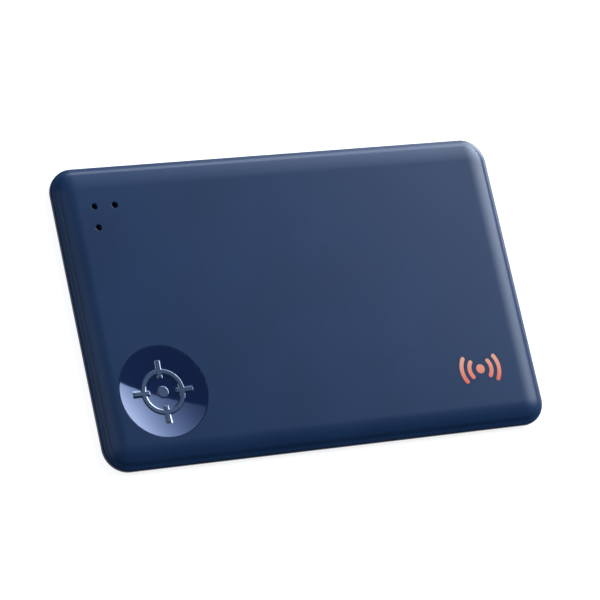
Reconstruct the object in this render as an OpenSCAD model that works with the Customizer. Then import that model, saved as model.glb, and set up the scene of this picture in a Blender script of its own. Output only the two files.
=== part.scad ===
// Card-sized radio tracker tag: a bonded two-piece case with a dished push button,
// a piezo buzzer behind three sound holes, a circuit board and a flat pouch cell.
// Millimetres. The card lies on its rear face at z = 0, centred on the origin, with
// its front face up, its length along X and its buttoned end towards -X.

/* [Body] */
// Length of the card
body_length = 85.5; // [71:0.5:104]
// Width of the card
body_width = 54; // [53:0.5:66]
// Thickness over the flat of the front face
body_thickness = 2.5; // [2.45:0.05:3.2]
// Radius of the four corners of the outline
corner_radius = 4.45; // [4.4:0.05:6]
// Thickness of the rear housing's floor
floor_thickness = 0.45; // [0.35:0.05:0.5]
// Round of the rear housing's lower edge
rear_edge_round = 0.8; // [0.5:0.05:0.9]
// Round of the rim's outer upper edge
rim_edge_round = 0.1; // [0.05:0.05:0.15]
// How far the rim's top, where the case parts, lies under the front face
rim_drop = 1.2; // [1.15:0.05:1.25]
// Width of the rim's top, on which the front cover's edge rests
rim_width = 0.55; // [0.5:0.05:0.7]
// Thickness of the rear housing's side wall
side_wall = 1.9; // [1.6:0.1:2]

/* [Front cover] */
// Thickness of the front cover's web
cover_web = 0.5; // [0.4:0.05:0.55]
// How far the front cover's edge stands back from the outline
cover_inset = 0.2; // [0.15:0.01:0.3]
// Thickness of the front cover's edge band
cover_band = 2.2; // [2:0.1:2.3]
// Width of the sloping shelf round the front cover
shelf_width = 0.42; // [0.3:0.02:0.5]
// Rise of the step from the shelf's line to the shoulder's
shelf_step = 0.16; // [0.1:0.02:0.18]
// Inset from the outline of the crowned shoulder's foot
shoulder_inset = 1.4; // [1.3:0.05:1.5]
// Inset from the outline at which the crowned shoulder meets the flat face
crown_inset = 4.3; // [4:0.05:4.35]
// How far the shoulder falls from the flat face to its foot
crown_drop = 0.46; // [0.36:0.02:0.48]
// Thickness of the bonding bead between the two case halves
seal_thickness = 0.1; // [0.05:0.05:0.15]

/* [Button] */
// Radius of the button at the front face
button_radius = 8.1; // [6.6:0.1:9.8]
// Distance from the card's left edge to the button's edge
button_from_left = 4.55; // [4.5:0.05:6.5]
// Distance from the card's lower edge to the button's edge
button_from_bottom = 4.8; // [4.6:0.05:5.2]
// Depth of the button's dish
dish_depth = 0.45; // [0.3:0.05:0.5]
// Thickness of the cap under the middle of the dish
cap_web = 0.4; // [0.35:0.05:0.45]
// Travel of the button
button_travel = 0.18; // [0.1:0.02:0.2]
// Gap round the cap
cap_gap = 0.08; // [0.05:0.01:0.12]
// Height of the raised symbol over the dish
symbol_rise = 0.14; // [0.04:0.02:0.2]
// Width of the symbol's lines
symbol_line = 0.7; // [0.5:0.05:0.8]
// Radius of the symbol's ring, at the middle of its line
symbol_ring = 3.6; // [2.6:0.1:4.4]

/* [Switch] */
// Radius of the metal snap dome
dome_radius = 3.5; // [2.5:0.1:4.2]
// Height of the snap dome
dome_height = 0.25; // [0.2:0.01:0.26]
// Thickness of the snap dome's sheet
dome_sheet = 0.06; // [0.05:0.01:0.08]
// Radius of the cap's pip, which pushes the dome
pip_radius = 1.3; // [0.8:0.1:2]

/* [Sound] */
// Radius of one sound hole
sound_hole_radius = 0.55; // [0.4:0.05:0.7]
// Distance between neighbouring sound holes
sound_hole_pitch = 3.8; // [3:0.1:4]
// Distance of the corner sound hole from the card's left edge
sound_from_left = 7.05; // [6.8:0.05:8]
// Distance of the corner sound hole from the card's upper edge
sound_from_top = 7.4; // [7:0.05:8]
// Radius of the buzzer's brass plate
buzzer_radius = 8; // [6.6:0.1:8.2]
// Radius of the buzzer's ceramic disc
ceramic_radius = 5.4; // [4:0.1:5.8]
// Height of the foam ring that hangs the buzzer from the front cover
buzzer_ring_height = 0.4; // [0.3:0.05:0.45]

/* [Board and cell] */
// Width of the board's strip of parts beside the button and the buzzer
strip_width = 5.7; // [5.2:0.1:8]
// Thickness of the circuit board
board_thickness = 0.4; // [0.3:0.05:0.45]
// Thickness of the flat pouch cell
cell_thickness = 1.15; // [0.9:0.05:1.4]
// Width of the cell's tabs
tab_width = 3.5; // [2.5:0.5:4]

/* [Hidden] */
$fn = 96;

// General sizes
eps = 0.02;
tape_thickness = 0.1;
inner_gap = 0.5;
crown_steps = 10;
step_steps = 6;
round_steps = 5;
cover_edge_round = 0.06;

// Heights, from the rear face up
board_base = floor_thickness + tape_thickness;
board_top = board_base + board_thickness;
pad_thickness = 0.03;
pad_top = board_top + pad_thickness;
rim_top = body_thickness - rim_drop;
ledge_top = rim_top - seal_thickness;
cover_under = body_thickness - cover_web;

// Insets from the outline
pocket_inset = cover_inset + cover_band;

// Edges of the card and of the room inside it
left = -body_length / 2;
right = body_length / 2;
bottom = -body_width / 2;
top = body_width / 2;
room_left = left + side_wall + inner_gap;
room_right = right - side_wall - inner_gap;
room_half_width = body_width / 2 - side_wall - inner_gap;

// Button
button_x = left + button_from_left + button_radius;
button_y = bottom + button_from_bottom + button_radius;
cap_flange = 0.8;
cap_flange_thickness = 0.2;
lip_gap = 0.02;
seat_gap = 0.2;
boss_wall = 1.1;
cap_under = body_thickness - dish_depth - cap_web;
seat_radius = button_radius + cap_flange + seat_gap;
boss_radius = seat_radius + boss_wall;
diaphragm_thickness = 0.1;
diaphragm_rise = button_travel + eps;
diaphragm_bond = button_radius - 1.4;
diaphragm_hole = diaphragm_bond - 2;
diaphragm_roll = button_radius + 0.3;
diaphragm_edge = boss_radius - 0.2;
boss_base = cap_under - diaphragm_rise;
dish_sphere = (button_radius ^ 2 + dish_depth ^ 2) / (2 * dish_depth);
symbol_reach = 5.5;
symbol_tick_root = 2.5;
symbol_dot = 0.95;

// Switch
dome_sphere = (dome_radius ^ 2 + dome_height ^ 2) / (2 * dome_height);
dome_trim = 0.85;
film_thickness = 0.05;
film_gap = 0.005;
film_margin = 1.5;
film_crown = pad_top + dome_height + film_gap + film_thickness;
pip_free_play = 0.02;
switch_ring_width = 0.8;
switch_centre_pad = 1.2;

// Sound
sound_x = left + sound_from_left;
sound_y = top - sound_from_top;
port_x = sound_x + sound_hole_pitch / 2;
port_y = sound_y - sound_hole_pitch / 2;
port_radius = sound_hole_pitch / sqrt(2) + sound_hole_radius;
membrane_land = 1;
membrane_radius = port_radius + 0.15 + membrane_land;
membrane_tape = 0.05;
membrane_thickness = 0.05;
buzzer_ring_width = 0.85;
plate_thickness = 0.12;
ceramic_thickness = 0.12;
buzzer_x = left + pocket_inset + inner_gap + buzzer_radius;
buzzer_y = top - pocket_inset - inner_gap - buzzer_radius;
plate_base = cover_under - buzzer_ring_height - plate_thickness;
ceramic_base = plate_base - ceramic_thickness;

// Board
board_left = room_left;
board_right = strip_width + max(button_x + boss_radius, buzzer_x + buzzer_radius);
board_half = room_half_width;
strip_x = board_right - 3;
band_y = (button_y + boss_radius + buzzer_y - buzzer_radius) / 2;
radio_size = 6;
radio_x = button_x - 1;
antenna_line = 0.4;
antenna_tooth = 1.2;
antenna_teeth = 6;
antenna_start = board_left + 0.8;
antenna_end = antenna_start + (2 * antenna_teeth - 1) * antenna_tooth + antenna_line;
peg_radius = 0.6;
peg_gap = 0.05;
peg_height = 0.2;
peg_places = [
    [board_right - 1.5, board_half - 1.6],
    [board_right - 1.5, -board_half + 1.6],
    [board_left + 1.5, band_y]
];

// Cell
bay_gap = 1.2;
cell_left = board_right + bay_gap + 2;
cell_right = room_right - 0.8;
cell_half = room_half_width - 1.4;
cell_base = floor_thickness + tape_thickness;
cell_top = cell_base + cell_thickness;
cell_terrace = 3.5;
cell_flange = 0.8;
cell_flange_thickness = 0.16;
cell_corner = 1.6;
tab_thickness = 0.1;
tab_y = 6;
tab_overlap = 3;
rib_width = 0.6;
rib_top = board_top - 0.1;

// Printed mark: a dot between two pairs of arcs
mark_x = right - 11.55;
mark_y = bottom + 10.8;
mark_line = 0.8;
mark_arcs = [[2.2, 38], [3.75, 34]];
mark_dot = 0.85;
mark_depth = 0.06;
mark_sink = 0.01;

// The edge of a slab, as [inset, z] from its underside up, for a plain upright wall
function upright(inset, z0, z1) = [[inset, z0], [inset, z1]];

// The same with a quarter round at the foot and one at the head
function rounded_wall(inset, z0, z1, foot, head) = concat(
    [for (i = [0:round_steps]) let (a = 90 * i / round_steps)
        [inset + foot * (1 - sin(a)), z0 + foot * (1 - cos(a))]],
    [for (i = [0:round_steps]) let (a = 90 * i / round_steps)
        [inset + head * (1 - cos(a)), z1 - head * (1 - sin(a))]]
);

// Height of the front cover's shelf and of the eased step behind it, up to the shoulder's foot
function shelf_height(inset) = let (
    slope = 2 * crown_drop / (crown_inset - shoulder_inset),
    step_start = cover_inset + shelf_width,
    part = max(0, inset - step_start) / (shoulder_inset - step_start),
    eased = part * part * (3 - 2 * part)
) body_thickness - crown_drop - slope * (shoulder_inset - inset) - shelf_step * (1 - eased);

// Height of the parabolic shoulder, from its foot to the flat face
function shoulder_height(inset) = body_thickness
    - crown_drop * ((crown_inset - inset) / (crown_inset - shoulder_inset)) ^ 2;

// The front cover's edge: an upright band, the shelf, the step, then the shoulder
function crowned_wall() = let (
    shelf_start = cover_inset + cover_edge_round,
    step_start = cover_inset + shelf_width
) concat(
    [[cover_inset, rim_top], [cover_inset, shelf_height(shelf_start) - cover_edge_round],
     [shelf_start, shelf_height(shelf_start)]],
    [for (i = [0:step_steps]) let (
        inset = step_start + (shoulder_inset - step_start) * i / step_steps
    ) [inset, shelf_height(inset)]],
    [for (i = [1:crown_steps]) let (
        inset = shoulder_inset + (crown_inset - shoulder_inset) * i / crown_steps
    ) [inset, shoulder_height(inset)]]
);

// A rounded rectangle, centred on the origin, whose edge follows [inset, z] points
module edged_slab(length, width, radius, edge) {
    half_x = length / 2 - radius;
    half_y = width / 2 - radius;
    base = edge[0][1];
    head = edge[len(edge) - 1][1];
    section = concat(
        [[0, base]],
        [for (p = edge) [radius - p[0], p[1]]],
        [[0, head]]
    );
    translate([-half_x, -half_y, base])
        cube([2 * half_x, 2 * half_y, head - base]);
    for (turn = [0, 180]) rotate([0, 0, turn]) {
        translate([half_x, half_y, 0])
            rotate([90, 0, 0])
                linear_extrude(2 * half_y) polygon(section);
        translate([-half_x, half_y, 0])
            rotate([90, 0, 90])
                linear_extrude(2 * half_x) polygon(section);
        translate([half_x, half_y, 0])
            rotate_extrude(angle = 90) polygon(section);
        translate([-half_x, half_y, 0])
            rotate([0, 0, 90])
                rotate_extrude(angle = 90) polygon(section);
    }
}

// A slab of the card's own outline
module card_slab(edge) {
    edged_slab(body_length, body_width, corner_radius, edge);
}

// A block centred on x, y that stands on z
module block(x, y, z, size) {
    translate([x - size[0] / 2, y - size[1] / 2, z]) cube(size);
}

// A disc centred on x, y that stands on z
module disc(x, y, z, radius, height) {
    translate([x, y, z]) cylinder(r = radius, h = height);
}

// A flat ring centred on x, y that stands on z
module ring(x, y, z, outer, inner, height) {
    difference() {
        disc(x, y, z, outer, height);
        disc(x, y, z - eps, inner, height + 2 * eps);
    }
}

// Rear half of the case: floor, side wall, rim, ledge for the bead, board pegs and cell rib
module rear_housing() {
    color("#2c3c60") {
        difference() {
            card_slab(rounded_wall(0, 0, rim_top, rear_edge_round, rim_edge_round));
            card_slab(upright(side_wall, floor_thickness, rim_top + 1));
            card_slab(upright(rim_width, ledge_top, rim_top + 1));
        }
        for (place = peg_places)
            disc(place[0], place[1], floor_thickness - eps, peg_radius,
                 board_top + peg_height - floor_thickness + eps);
        block(board_right + bay_gap, 0, floor_thickness - eps,
              [rib_width, 2 * cell_half, rib_top - floor_thickness + eps]);
    }
}

// Front half of the case: shelf, crowned shoulder, button seat, sound holes and mark recess
module front_cover() {
    color("#2f4068")
    difference() {
        union() {
            difference() {
                card_slab(crowned_wall());
                card_slab(upright(pocket_inset, rim_top - eps, cover_under));
            }
            disc(button_x, button_y, boss_base, boss_radius,
                 body_thickness - cover_web / 2 - boss_base);
        }
        disc(button_x, button_y, boss_base - 1, button_radius + cap_gap,
             body_thickness + 2);
        disc(button_x, button_y, boss_base - 1, seat_radius,
             cap_under + cap_flange_thickness + lip_gap - boss_base + 1);
        for (shift = [[0, 0], [1, 0], [0, -1]])
            disc(sound_x + shift[0] * sound_hole_pitch,
                 sound_y + shift[1] * sound_hole_pitch,
                 cover_under - 1, sound_hole_radius, cover_web + 2);
        mark_shape(body_thickness - mark_depth, mark_depth + 1, 0);
    }
}

// Bead of adhesive on the ledge inside the rim, under the front cover's edge band
module perimeter_seal() {
    color("#20242c")
    difference() {
        card_slab(upright(rim_width + 0.05, ledge_top, rim_top));
        card_slab(upright(side_wall, ledge_top - eps, rim_top + eps));
    }
}

// One arc of the mark, with round ends
module mark_arc(radius, half_angle, z, height, grow) {
    half_line = mark_line / 2 + grow;
    rotate([0, 0, -half_angle])
        rotate_extrude(angle = 2 * half_angle)
            translate([radius - half_line, z]) square([2 * half_line, height]);
    for (side = [-1, 1])
        rotate([0, 0, side * half_angle])
            translate([radius, 0, z]) cylinder(r = half_line, h = height);
}

// The mark's outline: a dot with a pair of arcs on each side
module mark_shape(z, height, grow) {
    translate([mark_x, mark_y, 0]) {
        translate([0, 0, z]) cylinder(r = mark_dot + grow, h = height);
        for (turn = [0, 180], arc = mark_arcs)
            rotate([0, 0, turn]) mark_arc(arc[0], arc[1], z, height, grow);
    }
}

// Ink fill of the mark
module printed_mark() {
    color("#ef7b62")
        mark_shape(body_thickness - mark_depth, mark_depth - mark_sink, -0.005);
}

// Hollow ball that trims what lies above the dish, lowered by a given rise
module dish_cut(rise) {
    translate([button_x, button_y, body_thickness - dish_depth + dish_sphere])
        sphere(r = dish_sphere - rise, $fn = 256);
}

// Locating symbol: a ring with a dot and four ticks
module symbol_lines() {
    depth = dish_depth + cap_web / 2;
    base = body_thickness - depth;
    difference() {
        union() {
            ring(button_x, button_y, base, symbol_ring + symbol_line / 2,
                 symbol_ring - symbol_line / 2, depth);
            disc(button_x, button_y, base, symbol_dot, depth);
            for (turn = [0:90:270])
                translate([button_x, button_y, 0]) rotate([0, 0, turn])
                    block((symbol_tick_root + symbol_reach) / 2, 0, base,
                          [symbol_reach - symbol_tick_root, symbol_line, depth]);
        }
        dish_cut(symbol_rise);
    }
}

// Push button cap: dished face, raised symbol, a flange that the cover keeps in
// and a pip underneath that stands just clear of the dome's film
module button_cap() {
    pip_base = film_crown + pip_free_play;
    color("#1b2a52") {
        difference() {
            union() {
                disc(button_x, button_y, cap_under, button_radius,
                     body_thickness - cap_under);
                disc(button_x, button_y, cap_under, button_radius + cap_flange,
                     cap_flange_thickness);
            }
            dish_cut(0);
        }
        symbol_lines();
        disc(button_x, button_y, pip_base, pip_radius,
             cap_under + cap_web / 2 - pip_base);
    }
}

// Silicone diaphragm ring: bonded to the cap inside and to the seat outside
module button_diaphragm() {
    low = boss_base - diaphragm_thickness;
    high = cap_under - diaphragm_thickness;
    color("#9aa4b4")
        translate([button_x, button_y, 0])
            rotate_extrude()
                polygon([
                    [diaphragm_hole, high], [diaphragm_bond, high],
                    [diaphragm_roll, low], [diaphragm_edge, low],
                    [diaphragm_edge, boss_base], [diaphragm_roll, boss_base],
                    [diaphragm_bond, cap_under], [diaphragm_hole, cap_under]
                ]);
}

// Bowl of a ball of a given radius whose edge lies on z = 0 and whose crown is up
module cap_of_ball(radius, height, shift) {
    intersection() {
        translate([0, 0, height - radius]) sphere(r = radius + shift, $fn = 256);
        translate([-10, -10, 0]) cube([20, 20, 2]);
    }
}

// Stainless snap dome, trimmed on two sides
module switch_dome() {
    color("#c9ccd0")
        translate([button_x, button_y, pad_top])
            intersection() {
                difference() {
                    cap_of_ball(dome_sphere, dome_height, 0);
                    cap_of_ball(dome_sphere, dome_height, -dome_sheet);
                }
                block(0, 0, 0, [2 * dome_radius, 2 * dome_radius * dome_trim, 1]);
            }
}

// Clear film that holds the dome on the board
module dome_film() {
    rise = film_gap + film_thickness;
    color("#d9b84a")
        translate([button_x, button_y, pad_top])
            difference() {
                union() {
                    cap_of_ball(dome_sphere, dome_height, rise);
                    disc(0, 0, 0, dome_radius + film_margin, film_thickness);
                }
                cap_of_ball(dome_sphere, dome_height, film_gap);
                disc(0, 0, -eps, dome_radius - 0.2, 2 * eps);
            }
}

// Gilded contacts under the dome: a ring and a centre pad
module switch_pads() {
    color("#d4af55") {
        ring(button_x, button_y, board_top, dome_radius + 0.2,
             dome_radius + 0.2 - switch_ring_width, pad_thickness);
        disc(button_x, button_y, board_top, switch_centre_pad, pad_thickness);
    }
}

// Adhesive ring that holds the membrane under the sound holes
module membrane_adhesive() {
    color("#e8e6dc")
        ring(port_x, port_y, cover_under - membrane_tape, membrane_radius,
             membrane_radius - membrane_land, membrane_tape);
}

// Black porous membrane that lets sound through and keeps water out
module acoustic_membrane() {
    color("#101114")
        disc(port_x, port_y, cover_under - membrane_tape - membrane_thickness,
             membrane_radius, membrane_thickness);
}

// Foam ring between the front cover and the buzzer plate
module buzzer_foam_ring() {
    color("#2a2a2c")
        ring(buzzer_x, buzzer_y, cover_under - buzzer_ring_height, buzzer_radius,
             buzzer_radius - buzzer_ring_width, buzzer_ring_height);
}

// Brass plate of the piezo bender
module buzzer_plate() {
    color("#c9a24a")
        disc(buzzer_x, buzzer_y, plate_base, buzzer_radius, plate_thickness);
}

// Piezo ceramic, bonded under the brass plate
module buzzer_ceramic() {
    color("#e6e2d4")
        disc(buzzer_x, buzzer_y, ceramic_base, ceramic_radius, ceramic_thickness);
}

// Stamped C-shaped contact finger that stands on the board and reaches up to z
module contact_finger(x, y, reach_z) {
    sheet = 0.08;
    foot = 2;
    width = 1.1;
    rise = reach_z - board_top;
    translate([x - foot / 2, y + width / 2, board_top])
        rotate([90, 0, 0])
            linear_extrude(width)
                polygon([
                    [0, 0], [foot, 0], [foot, sheet], [sheet, sheet],
                    [sheet, rise - sheet], [foot * 0.8, rise - sheet],
                    [foot * 0.8, rise], [0, rise]
                ]);
}

// Contact finger for the ceramic's electrode
module buzzer_spring_inner() {
    color("#d8c07a") contact_finger(buzzer_x, buzzer_y, ceramic_base);
}

// Contact finger for the brass plate
module buzzer_spring_outer() {
    color("#d8c07a")
        contact_finger(buzzer_x, buzzer_y - (ceramic_radius + buzzer_radius) / 2,
                       plate_base);
}

// Layer of the board's outline less a margin, with holes for the housing's pegs
module board_layer(z, height, margin) {
    difference() {
        intersection() {
            card_slab(upright(side_wall + inner_gap + margin, z, z + height));
            translate([left, bottom, z - eps])
                cube([board_right - margin - left, body_width, height + 2 * eps]);
        }
        for (place = peg_places)
            disc(place[0], place[1], z - eps, peg_radius + peg_gap,
                 height + 2 * eps);
    }
}

// Glass-epoxy board
module circuit_board() {
    color("#1d5a3a") board_layer(board_base, board_thickness, 0);
}

// Double-sided adhesive under the board
module board_adhesive() {
    color("#e9e7e0") board_layer(floor_thickness, tape_thickness, 0.6);
}

// Solder lands for the cell's tabs, and a row of round test points
module board_pads() {
    test_points = 4;
    test_pitch = 1.6;
    color("#d4af55") {
        for (side = [-1, 1])
            block(board_right - tab_overlap / 2, side * tab_y, board_top,
                  [tab_overlap - 0.4, tab_width + 0.4, pad_thickness]);
        for (i = [0:test_points - 1])
            disc(strip_x, -board_half + 4.5 + i * test_pitch, board_top,
                 0.5, pad_thickness);
    }
}

// Meandered copper antenna along the board's lower edge
module antenna_trace() {
    depth = 1.8;
    y0 = -board_half + 0.5;
    color("#c98a4b") {
        for (i = [0:2 * antenna_teeth - 1])
            translate([antenna_start + i * antenna_tooth, y0, board_top])
                cube([antenna_line, depth, pad_thickness]);
        for (i = [0:2 * antenna_teeth - 2])
            translate([antenna_start + i * antenna_tooth,
                       y0 + (i % 2 == 0 ? depth - antenna_line : 0), board_top])
                cube([antenna_tooth + antenna_line, antenna_line, pad_thickness]);
    }
}

// Radio microcontroller in a leadless package, with its solder lands
module radio_chip() {
    body_height = 0.75;
    color("#1c1c1e") {
        block(radio_x, band_y, pad_top,
              [radio_size, radio_size, body_height]);
        for (turn = [0:90:270], i = [-4.5:1:4.5])
            translate([radio_x, band_y, 0]) rotate([0, 0, turn])
                block(radio_size / 2 - 0.15, i * 0.5, board_top,
                      [0.5, 0.25, pad_thickness + eps]);
    }
}

// Crystal in a ceramic package with a metal lid
module crystal(x, y, size) {
    block(x, y, board_top, size);
    block(x, y, board_top + size[2] - eps, [size[0] - 0.4, size[1] - 0.4, 0.07]);
}

// Crystal that times the radio
module radio_crystal() {
    color("#b9b6ae")
        crystal(radio_x + radio_size / 2 + 2.6, band_y + 1.5, [2.5, 2, 0.5]);
}

// Crystal that times the sleep clock
module clock_crystal() {
    color("#a8a59c")
        crystal(radio_x + radio_size / 2 + 2.6, band_y - 1.5, [3.2, 1.5, 0.6]);
}

// Driver chip for the buzzer
module buzzer_driver() {
    color("#202022")
        block(strip_x, tab_y + 5, board_top, [2, 2, 0.55]);
}

// Wound inductor that boosts the buzzer's voltage
module boost_inductor() {
    inductor_y = tab_y + 8.6;
    color("#3a3a3d") {
        block(strip_x, inductor_y, board_top, [3, 3, 0.25]);
        disc(strip_x, inductor_y, board_top + 0.25 - eps, 1.1, 0.45 + 2 * eps);
        block(strip_x, inductor_y, board_top + 0.7, [3, 3, 0.2]);
    }
}

// Two-terminal chip part along X, on the board
module chip_part(x, y, size) {
    block(x, y, board_top, size);
}

// Two large capacitors that feed the radio's and the buzzer's peaks
module reservoir_capacitors() {
    color("#9c7a52")
        for (i = [0, 1])
            chip_part(strip_x, -tab_y - 4 - 2.4 * i, [3.2, 1.6, 0.9]);
}

// Small decoupling capacitors beside the radio chip
module ceramic_capacitors() {
    color("#a5835a") {
        for (i = [-2:2])
            chip_part(radio_x - radio_size / 2 - 1.6, band_y + i * 1.15,
                      [1, 0.5, 0.5]);
        for (i = [-1, 1])
            chip_part(radio_x + i * 1.2, band_y + radio_size / 2 + 0.9,
                      [1, 0.5, 0.5]);
    }
}

// Thick-film resistors round the buzzer driver
module chip_resistors() {
    color("#27282b")
        for (i = [-1, 1], j = [0, 1])
            chip_part(strip_x + i * 0.9, tab_y + 11.4 + j * 0.9,
                      [1, 0.5, 0.35]);
}

// Matching parts between the radio and the antenna
module matching_inductors() {
    color("#b8bcc2")
        for (i = [0:2])
            chip_part(antenna_end + 2.8 + 1.6 * i, -board_half + 0.9,
                      [1, 0.5, 0.5]);
}

// Flat pouch cell: a two-sided pocket with a sealed flange and a tab terrace
module battery_cell() {
    flange_base = pad_top - (cell_flange_thickness - tab_thickness) / 2;
    body_left = cell_left + cell_terrace;
    body_length_x = cell_right - cell_flange - body_left;
    body_width_y = 2 * (cell_half - cell_flange);
    edge_round = 0.3;
    color("#b4b8bd") {
        translate([body_left + body_length_x / 2, 0, 0])
            edged_slab(body_length_x, body_width_y, cell_corner,
                       rounded_wall(0, cell_base, cell_top, edge_round, edge_round));
        block((cell_left + cell_right) / 2, 0, flange_base,
              [cell_right - cell_left, 2 * cell_half, cell_flange_thickness]);
    }
}

// Nickel strip from the cell's terrace to its land on the board
module battery_tab(y) {
    tab_start = board_right - tab_overlap;
    translate([tab_start, y - tab_width / 2, pad_top])
        cube([cell_left - tab_start, tab_width, tab_thickness]);
}

module battery_tab_positive() {
    color("#c6c8c6") battery_tab(tab_y);
}

module battery_tab_negative() {
    color("#bfc1be") battery_tab(-tab_y);
}

// Insulating tape over the terrace
module battery_terrace_tape() {
    terrace_top = pad_top + (cell_flange_thickness + tab_thickness) / 2;
    color("#d99a2b")
        block(cell_left + cell_terrace / 2 - 0.2, 0, terrace_top,
              [cell_terrace - 0.6, 2 * cell_half - 6, 0.06]);
}

// Double-sided adhesive under the cell
module battery_adhesive() {
    color("#e9e7e0")
        block((cell_left + cell_terrace + cell_right) / 2, 0, floor_thickness,
              [30, 30, tape_thickness]);
}

// Foam pad that takes up the room over the cell
module battery_foam() {
    color("#34363a")
        block((cell_left + cell_terrace + cell_right) / 2, 0, cell_top,
              [34, 26, cover_under - cell_top]);
}

rear_housing();
front_cover();
perimeter_seal();
printed_mark();
button_cap();
button_diaphragm();
switch_dome();
dome_film();
switch_pads();
acoustic_membrane();
membrane_adhesive();
buzzer_plate();
buzzer_ceramic();
buzzer_foam_ring();
buzzer_spring_inner();
buzzer_spring_outer();
circuit_board();
board_adhesive();
board_pads();
antenna_trace();
radio_chip();
radio_crystal();
clock_crystal();
buzzer_driver();
boost_inductor();
reservoir_capacitors();
ceramic_capacitors();
chip_resistors();
matching_inductors();
battery_cell();
battery_tab_positive();
battery_tab_negative();
battery_terrace_tape();
battery_adhesive();
battery_foam();
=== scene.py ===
import math

import bmesh
import bpy
import numpy as np
from mathutils import Matrix, Vector
from mathutils.geometry import delaunay_2d_cdt


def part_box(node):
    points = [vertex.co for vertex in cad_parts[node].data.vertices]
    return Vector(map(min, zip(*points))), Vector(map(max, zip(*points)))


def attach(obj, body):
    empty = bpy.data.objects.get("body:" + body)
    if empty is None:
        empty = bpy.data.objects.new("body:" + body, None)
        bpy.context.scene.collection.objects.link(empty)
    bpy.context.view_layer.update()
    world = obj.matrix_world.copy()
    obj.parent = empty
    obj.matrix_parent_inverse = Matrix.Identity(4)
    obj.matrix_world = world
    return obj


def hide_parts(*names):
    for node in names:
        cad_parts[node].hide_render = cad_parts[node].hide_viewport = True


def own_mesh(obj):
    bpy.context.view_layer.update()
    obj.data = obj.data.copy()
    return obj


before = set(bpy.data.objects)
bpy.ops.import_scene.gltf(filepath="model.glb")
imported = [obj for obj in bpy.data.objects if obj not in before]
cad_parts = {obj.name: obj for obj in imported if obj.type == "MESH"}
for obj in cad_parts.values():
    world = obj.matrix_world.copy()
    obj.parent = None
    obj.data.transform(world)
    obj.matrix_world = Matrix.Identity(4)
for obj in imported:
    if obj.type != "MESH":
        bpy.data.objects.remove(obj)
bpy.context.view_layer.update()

# Rear housing. The lower half of the case: a shallow tray injection-moulded in navy
# polycarbonate, whose blasted mould leaves a fine matte grain. The front cover's edge rests on
# its rim, and three pegs and a rib on its floor place the board and the cell.
MM = 0.001
rear_low, rear_high = (np.array(corner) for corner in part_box("rear_housing"))
board_low, board_high = (np.array(corner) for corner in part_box("circuit_board"))
card_length, card_width, rim_top = rear_high - rear_low
corner_radius = 4.45 * MM
lower_round = 0.8 * MM
rim_round = 0.1 * MM
rim_width = 0.55 * MM
ledge_height = rim_top - 0.1 * MM
side_wall = 1.9 * MM
floor_top = 0.45 * MM
flat_lead = 0.3 * MM
inner_round = 0.1 * MM
root_depth = 0.05 * MM
peg_radius = 0.6 * MM
peg_inset_x = 1.5 * MM
peg_inset_y = 1.6 * MM
end_peg_y = 2.2 * MM
peg_top = board_high[2] + 0.2 * MM
rib_place = board_high[0] + 1.2 * MM
rib_width = 0.6 * MM
rib_half_length = 23.2 * MM
rib_top = board_high[2] - 0.1 * MM


def arc(inset, height, radius, start, end, steps):
    """Edge round: (inset, height) plus radius times (cos a, sin a), a from start to end degrees."""
    a = np.radians(np.linspace(start, end, steps + 1))
    return np.stack([inset + radius * np.cos(a), height + radius * np.sin(a)], 1)


def outline_rows(section, corner_steps=28):
    """Loops of the card's outline, one for each (inset, height) point of a section. At each
    corner a point is the corner's centre plus (corner radius - inset) times (cos a, sin a)."""
    quarter = np.linspace(0, math.pi / 2, corner_steps + 1)
    angle = quarter + np.arange(4)[:, None] * math.pi / 2
    middle_x = np.array([1, -1, -1, 1])[:, None] * (card_length / 2 - corner_radius)
    middle_y = np.array([1, 1, -1, -1])[:, None] * (card_width / 2 - corner_radius)
    inset, height = np.asarray(section).T[:, :, None, None]
    x = middle_x + (corner_radius - inset) * np.cos(angle)
    y = middle_y + (corner_radius - inset) * np.sin(angle)
    z = np.broadcast_to(height, x.shape)
    return np.stack([x, y, z], -1).reshape(len(section), -1, 3)


def turned_rows(centre, section, steps):
    """Loops of a turned shape: for each (radius, height) point of its section, the centre plus
    radius times (cos a, sin a), a going once round."""
    angle = np.linspace(0, 2 * math.pi, steps, endpoint=False)
    radius, height = np.asarray(section).T[:, :, None]
    x = centre[0] + radius * np.cos(angle)
    y = centre[1] + radius * np.sin(angle)
    return np.stack([x, y, np.broadcast_to(height, x.shape)], -1)


def skin(rows):
    """Patch of quads between neighbouring rows of a grid whose rows are closed loops."""
    count, around = rows.shape[:2]
    row, column = np.meshgrid(np.arange(count - 1), np.arange(around), indexing="ij")
    beside = (column + 1) % around
    quads = [row * around + column, row * around + beside,
             (row + 1) * around + beside, (row + 1) * around + column]
    return rows.reshape(-1, 3), np.stack(quads, -1).reshape(-1, 4)


def inside_outline(x, y, inset):
    """Distance inside the card's outline moved inwards by the inset: a rounded rectangle's
    signed distance, from how far |x|, |y| lie past its corner centres."""
    past_x = np.abs(x) - (card_length / 2 - corner_radius)
    past_y = np.abs(y) - (card_width / 2 - corner_radius)
    outside = np.hypot(np.maximum(past_x, 0), np.maximum(past_y, 0))
    return corner_radius - inset - outside - np.minimum(np.maximum(past_x, past_y), 0)


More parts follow.
